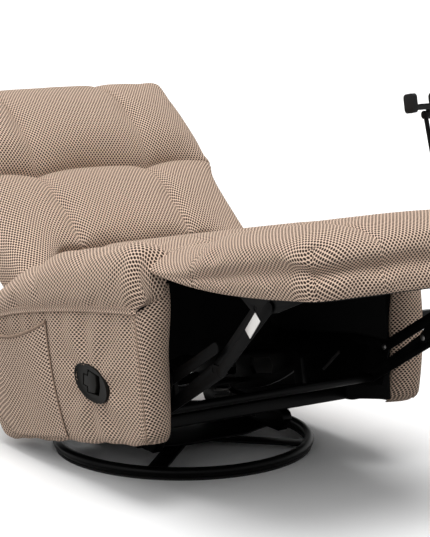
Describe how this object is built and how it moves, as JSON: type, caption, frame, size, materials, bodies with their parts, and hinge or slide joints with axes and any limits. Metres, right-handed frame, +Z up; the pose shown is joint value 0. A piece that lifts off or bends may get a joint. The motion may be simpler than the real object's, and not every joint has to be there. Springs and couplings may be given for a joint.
{
  "type": "swivel rocker recliner",
  "caption": "Padded recliner armchair with fold-out footrest and reclining back, rocking on a swivel ring base, with a side release handle, side pocket and clip holder.",
  "frame": {"origin": "floor plane, under the middle of the box round the part as it is stored: footrest out, back down", "axes": "+Z up, the sitter faces -Y, the sitter's right with the release handle is -X"},
  "size_m": [0.9378, 1.7789, 0.8655],
  "materials": {
    "black_steel": "gloss black enamel",
    "bare_steel": "zinc plated",
    "black_plastic": "matt moulded",
    "lined_board": "plywood lined with black cloth",
    "mesh_cloth": "beige spacer mesh over foam",
    "webbing": "woven black straps and cloth",
    "rubber": "soft black"
  },
  "bodies": {
    "base": {"base_ring": "black_steel", "floor_skid": "rubber", "base_spokes": "black_steel", "bearing_race": "bare_steel"},
    "swivel_deck": {"bearing_cap": "bare_steel", "swivel_plate": "black_steel", "rocker_track_left": "black_steel", "rocker_track_right": "black_steel", "rocker_spring_left": "bare_steel", "rocker_spring_right": "bare_steel"},
    "seat_body": {"rocker_cam_left": "black_steel", "rocker_cam_right": "black_steel", "rocker_bar_front": "black_steel", "rocker_bar_rear": "black_steel", "spring_bar": "black_steel", "side_board_left": "lined_board", "side_board_right": "lined_board", "side_panel_left": "mesh_cloth", "side_panel_right": "mesh_cloth", "arm_pad_left": "mesh_cloth", "arm_pad_right": "mesh_cloth", "seat_rail_front": "black_steel", "seat_rail_rear": "black_steel", "seat_webbing": "webbing", "seat_cushion": "mesh_cloth", "dust_curtain": "webbing", "rear_panel": "mesh_cloth", "mechanism_plate_left": "black_steel", "mechanism_plate_right": "black_steel", "bridge_pad": "mesh_cloth", "handle_cup": "black_plastic", "release_cable": "black_plastic", "side_pocket": "mesh_cloth", "holder_bracket": "black_plastic"},
    "lower_links": {"lower_link_left": "black_steel", "lower_link_right": "black_steel", "drive_tube": "black_steel"},
    "upper_links": {"upper_link_left": "black_steel", "upper_link_right": "black_steel"},
    "rear_links": {"rear_link_left": "black_steel", "rear_link_right": "black_steel"},
    "cross_links": {"cross_link_left": "black_steel", "cross_link_right": "black_steel"},
    "footrest": {"footrest_bracket_left": "black_steel", "footrest_bracket_right": "black_steel", "footrest_board": "lined_board", "footrest_pad": "mesh_cloth"},
    "back": {"back_frame": "lined_board", "back_webbing": "webbing", "back_bracket_left": "black_steel", "back_bracket_right": "black_steel", "back_cushion": "mesh_cloth", "lumbar_cushion": "mesh_cloth", "back_cover": "mesh_cloth"},
    "release_lever": {"handle_lever": "black_plastic"},
    "holder_post": {"holder_post": "black_steel"},
    "holder_arm": {"holder_arm": "black_steel"},
    "holder_head": {"holder_cradle": "black_plastic"},
    "holder_jaw": {"holder_jaw": "rubber"}
  },
  "joints": [
    {"name": "swivel", "type": "hinge", "parent": "base", "child": "swivel_deck", "pos_m": [-0.048, 0.0934, 0], "axis": [0, 0, 1], "continuous": true},
    {"name": "rock", "type": "hinge", "parent": "swivel_deck", "child": "seat_body", "pos_m": [-0.048, 0.0934, 0.1], "axis": [1, 0, 0], "range_deg": [0, 17], "stiffness_Nm_per_rad": 60, "springref_deg": -25.78, "deforming": ["rocker_spring_left", "rocker_spring_right"]},
    {"name": "recline", "type": "hinge", "parent": "seat_body", "child": "back", "pos_m": [-0.048, 0.29621, 0.34447], "axis": [1, 0, 0], "range_deg": [0, 31]},
    {"name": "footrest", "type": "hinge", "parent": "seat_body", "child": "lower_links", "pos_m": [-0.048, -0.28475, 0.20755], "axis": [1, 0, 0], "range_deg": [-105.55, 0], "deforming": ["bridge_pad"]},
    {"name": "upper_link", "type": "hinge", "parent": "lower_links", "child": "upper_links", "pos_m": [-0.048, -0.4794, 0.33922], "axis": [1, 0, 0], "range_deg": [0, 133.4]},
    {"name": "footrest_tilt", "type": "hinge", "parent": "upper_links", "child": "footrest", "pos_m": [-0.048, -0.63385, 0.49798], "axis": [1, 0, 0], "range_deg": [0, 56.3]},
    {"name": "rear_link", "type": "hinge", "parent": "seat_body", "child": "rear_links", "pos_m": [-0.048, -0.32261, 0.28679], "axis": [1, 0, 0], "range_deg": [-117.6, 0]},
    {"name": "cross_link", "type": "hinge", "parent": "lower_links", "child": "cross_links", "pos_m": [-0.048, -0.51443, 0.34384], "axis": [1, 0, 0], "range_deg": [0, 153.2]},
    {"name": "release_pull", "type": "hinge", "parent": "seat_body", "child": "release_lever", "pos_m": [-0.43032, -0.11832, 0.25763], "axis": [0, 0.0436, -0.999], "range_deg": [0, 30], "stiffness_Nm_per_rad": 0.6, "springref_deg": -8.59},
    {"name": "holder_swivel", "type": "hinge", "parent": "seat_body", "child": "holder_post", "pos_m": [0.417, -0.3626, 0.09073], "axis": [0, 0.1994, 0.9799], "range_deg": [-90, 90]},
    {"name": "holder_elbow", "type": "hinge", "parent": "holder_post", "child": "holder_arm", "pos_m": [0.447, -0.27987, 0.67292], "axis": [1, 0, 0], "range_deg": [-40, 40]},
    {"name": "holder_tilt", "type": "hinge", "parent": "holder_arm", "child": "holder_head", "pos_m": [0.4255, -0.23548, 0.81084], "axis": [1, 0, 0], "range_deg": [-30, 30]},
    {"name": "holder_grip", "type": "slide", "parent": "holder_head", "child": "holder_jaw", "axis": [1, 0, 0], "range_m": [0, 0.025], "stiffness_N_per_m": 60, "springref_m": -0.03}
  ],
  "couplings": [
    {"joint": "upper_link", "follows": "footrest", "ratio": -1.2632},
    {"joint": "footrest_tilt", "follows": "footrest", "ratio": -0.53271},
    {"joint": "rear_link", "follows": "footrest", "ratio": 1.1138},
    {"joint": "cross_link", "follows": "footrest", "ratio": -1.4509}
  ]
}
